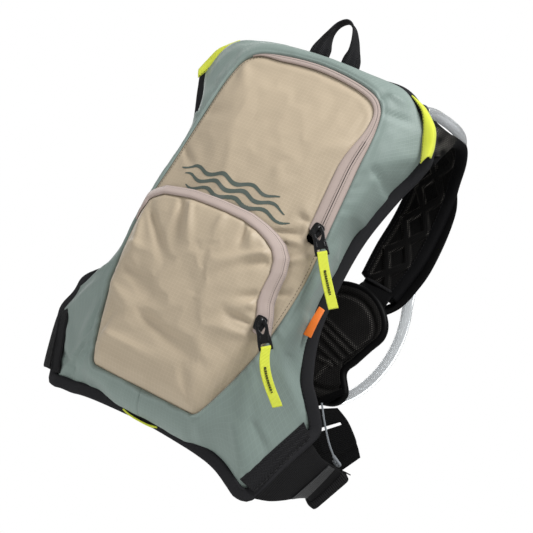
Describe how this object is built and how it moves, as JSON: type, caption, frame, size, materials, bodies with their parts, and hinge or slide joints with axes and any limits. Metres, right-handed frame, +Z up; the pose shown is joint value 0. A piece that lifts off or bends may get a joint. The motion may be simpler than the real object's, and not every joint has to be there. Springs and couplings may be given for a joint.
{
  "type": "hydration pack",
  "caption": "Slim hydration pack: fabric shell with front pocket and zips, vest harness with elastic wings, haul loop, water bag and drinking hose with bite valve.",
  "frame": {"origin": "top inside of the haul loop, where a hook or hand holds the pack", "axes": "+Z up along the wearer's back, +Y towards the wearer, +X to the side that carries the drinking hose"},
  "size_m": [0.3668, 0.219, 0.4567],
  "materials": {
    "sage_ripstop": "ripstop nylon, sage green",
    "beige_ripstop": "ripstop nylon, khaki beige",
    "zip_tape": "coated zip tape, pinkish beige",
    "neon_webbing": "neon yellow webbing",
    "orange_label": "folded satin label, orange",
    "black_binding": "stitched binding tape",
    "air_mesh": "spacer mesh over foam",
    "black_webbing": "woven webbing",
    "elastic": "ribbed elastic",
    "grip_patch": "hook-and-loop patch",
    "retainer_cord": "thin elastic cord",
    "zip_metal": "black lacquered zinc",
    "black_plastic": "moulded acetal",
    "hose_tube": "clear soft tube",
    "reservoir_film": "clear film",
    "valve_silicone": "silicone"
  },
  "bodies": {
    "pack": {"back_panel": "air_mesh", "back_pad": "air_mesh", "back_binding": "black_binding", "main_shell": "sage_ripstop", "front_panel": "beige_ripstop", "main_zip_tape": "zip_tape", "lower_pocket": "beige_ripstop", "pocket_zip_tape": "zip_tape", "haul_loop": "black_webbing", "right_corner_trim": "neon_webbing", "left_corner_trim": "neon_webbing", "right_wing_webbing": "black_webbing", "left_wing_webbing": "black_webbing", "bottom_loop": "neon_webbing", "side_label": "orange_label", "hose_port": "black_plastic", "inner_hose": "hose_tube", "reservoir": "reservoir_film", "reservoir_outlet": "black_plastic"},
    "main_slider": {"main_zip_slider": "zip_metal"},
    "main_puller": {"main_zip_puller": "zip_metal"},
    "main_tab": {"main_zip_pull_tab": "neon_webbing"},
    "pocket_slider": {"pocket_zip_slider": "zip_metal"},
    "pocket_puller": {"pocket_zip_puller": "zip_metal"},
    "pocket_tab": {"pocket_zip_pull_tab": "neon_webbing"},
    "right_harness": {"right_shoulder_strap": "air_mesh", "right_strap_arm_binding": "black_binding", "right_strap_neck_binding": "black_binding", "right_vest_panel": "air_mesh", "right_drop_webbing": "black_webbing", "right_side_elastic": "elastic", "right_grip_patch": "grip_patch", "right_elastic_roll": "elastic", "right_tail_band": "elastic", "right_sternum_webbing": "black_webbing", "elastic_retainer": "retainer_cord", "sternum_buckle_socket": "black_plastic", "hose": "hose_tube", "hose_sleeve": "black_webbing", "hose_clip": "black_plastic", "valve_body": "black_plastic", "bite_valve": "valve_silicone"},
    "left_harness": {"left_shoulder_strap": "air_mesh", "left_strap_arm_binding": "black_binding", "left_strap_neck_binding": "black_binding", "left_vest_panel": "air_mesh", "left_drop_webbing": "black_webbing", "left_side_elastic": "elastic", "left_grip_patch": "grip_patch", "left_elastic_roll": "elastic", "left_tail_band": "elastic", "left_sternum_webbing": "black_webbing", "sternum_buckle_plug": "black_plastic"},
    "valve_lever": {"valve_lever": "black_plastic"},
    "reservoir_cap": {"reservoir_cap": "black_plastic"}
  },
  "joints": [
    {"name": "main_zip_slide", "type": "slide", "parent": "pack", "child": "main_slider", "axis": [0.0076, -0.0614, 0.9981], "range_m": [0, 0.095]},
    {"name": "main_puller_hinge", "type": "hinge", "parent": "main_slider", "child": "main_puller", "pos_m": [0.09118, -0.03444, -0.20972], "axis": [-0.7269, -0.3109, -0.6124], "range_deg": [0, 110]},
    {"name": "main_tab_hinge", "type": "hinge", "parent": "main_puller", "child": "main_tab", "pos_m": [0.10704, -0.03308, -0.22925], "axis": [-0.7269, -0.3109, -0.6124], "range_deg": [0, 70]},
    {"name": "pocket_zip_slide", "type": "slide", "parent": "pack", "child": "pocket_slider", "axis": [-0.1981, -0.1211, 0.9727], "range_m": [0, 0.05]},
    {"name": "pocket_puller_hinge", "type": "hinge", "parent": "pocket_slider", "child": "pocket_puller", "pos_m": [0.0894, -0.04497, -0.31181], "axis": [-0.6974, -0.3615, -0.6188], "range_deg": [0, 110]},
    {"name": "pocket_tab_hinge", "type": "hinge", "parent": "pocket_puller", "child": "pocket_tab", "pos_m": [0.10477, -0.04107, -0.3314], "axis": [-0.6974, -0.3615, -0.6188], "range_deg": [0, 70]},
    {"name": "right_harness_swing", "type": "hinge", "parent": "pack", "child": "right_harness", "pos_m": [0.154, 0.017, -0.2], "axis": [0, 0, -1], "range_deg": [0, 45]},
    {"name": "left_harness_swing", "type": "hinge", "parent": "pack", "child": "left_harness", "pos_m": [-0.146, 0.017, -0.2], "axis": [0, 0, 1], "range_deg": [0, 45]},
    {"name": "valve_lever_turn", "type": "hinge", "parent": "right_harness", "child": "valve_lever", "pos_m": [0.05213, 0.14547, -0.25814], "axis": [-0.0068, 0.9983, 0.0579], "range_deg": [0, 90]},
    {"name": "reservoir_cap_turn", "type": "hinge", "parent": "pack", "child": "reservoir_cap", "pos_m": [-0.004, -0.0315, -0.199], "axis": [0, -1, 0], "continuous": true}
  ]
}
